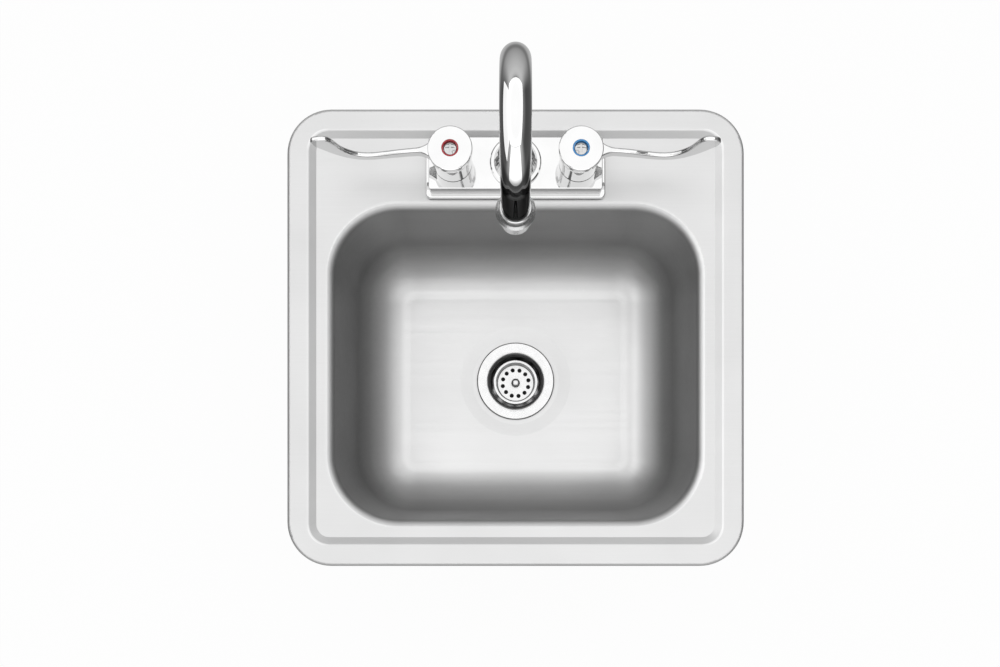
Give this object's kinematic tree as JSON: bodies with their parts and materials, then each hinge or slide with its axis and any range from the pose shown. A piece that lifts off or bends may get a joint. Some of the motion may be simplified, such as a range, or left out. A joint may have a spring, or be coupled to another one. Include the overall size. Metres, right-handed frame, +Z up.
{
  "type": "drop-in hand-wash sink",
  "caption": "Square drop-in steel hand sink with a deep rounded bowl, basket drain, swivelling gooseneck faucet, wrist-blade taps and under-rim clips.",
  "frame": {"origin": "centre of the rim outline, on the plane where the rim rests on the worktop", "axes": "+Z up, +Y from the bowl towards the faucet, +X towards the cold tap (the user faces +Y)"},
  "size_m": [0.381, 0.381, 0.5499],
  "materials": {
    "sheet_steel": "fine brushed stainless",
    "polished_steel": "polished stainless",
    "plated_brass": "bright plated",
    "zinc_steel": "zinc plated",
    "raw_brass": "machined",
    "alumina": "lapped alumina ceramic",
    "black_rubber": "soft",
    "grey_butyl": "soft putty",
    "white_nylon": "moulded",
    "fibre": "pressed fibre",
    "red_mark": "moulded",
    "blue_mark": "moulded"
  },
  "bodies": {
    "sink": {"base_gasket": "black_rubber", "basin": "sheet_steel", "clip_bolts": "zinc_steel", "clip_rails": "sheet_steel", "cold_cartridge": "raw_brass", "cold_fixed_disc": "alumina", "cold_seat_seal": "black_rubber", "cold_shank": "raw_brass", "drain_body": "polished_steel", "drain_gasket": "black_rubber", "drain_locknut": "zinc_steel", "faucet_base": "plated_brass", "flange_seal": "grey_butyl", "friction_washer": "fibre", "hot_cartridge": "raw_brass", "hot_fixed_disc": "alumina", "hot_seat_seal": "black_rubber", "hot_shank": "raw_brass", "rim_seal": "grey_butyl", "shank_nuts": "zinc_steel", "shank_washers": "white_nylon", "slip_nut": "white_nylon", "sound_pad": "black_rubber", "spout_nut": "plated_brass", "spout_orings": "black_rubber", "spout_socket": "raw_brass", "tail_washer": "black_rubber", "tailpiece": "plated_brass"},
    "clip_jaw_set": {"clip_jaws": "zinc_steel", "clip_nuts": "zinc_steel"},
    "hot_tap": {"hot_handle": "plated_brass", "hot_stem": "raw_brass", "hot_moving_disc": "alumina", "hot_index_ring": "red_mark", "hot_handle_screw": "plated_brass"},
    "cold_tap": {"cold_handle": "plated_brass", "cold_stem": "raw_brass", "cold_moving_disc": "alumina", "cold_index_ring": "blue_mark", "cold_handle_screw": "plated_brass"},
    "spout": {"gooseneck_spout": "plated_brass", "spout_snap_ring": "white_nylon", "aerator_housing": "plated_brass", "aerator_insert": "white_nylon", "aerator_washer": "black_rubber"},
    "basket": {"strainer_basket": "polished_steel", "basket_post": "polished_steel", "basket_stopper": "black_rubber"}
  },
  "joints": [
    {"name": "spout_swivel", "type": "hinge", "parent": "sink", "child": "spout", "pos_m": [0, 0.1385, 0.05], "axis": [0, 0, 1], "continuous": true},
    {"name": "hot_turn", "type": "hinge", "parent": "sink", "child": "hot_tap", "pos_m": [-0.0508, 0.1385, 0.05], "axis": [0, 0, 1], "range_deg": [0, 90]},
    {"name": "cold_turn", "type": "hinge", "parent": "sink", "child": "cold_tap", "pos_m": [0.0508, 0.1385, 0.05], "axis": [0, 0, 1], "range_deg": [-90, 0]},
    {"name": "basket_lift", "type": "slide", "parent": "sink", "child": "basket", "axis": [0, 0, 1], "range_m": [-0.005, 0.2]},
    {"name": "clip_travel", "type": "slide", "parent": "sink", "child": "clip_jaw_set", "axis": [0, 0, 1], "range_m": [-0.02, 0.013]}
  ]
}
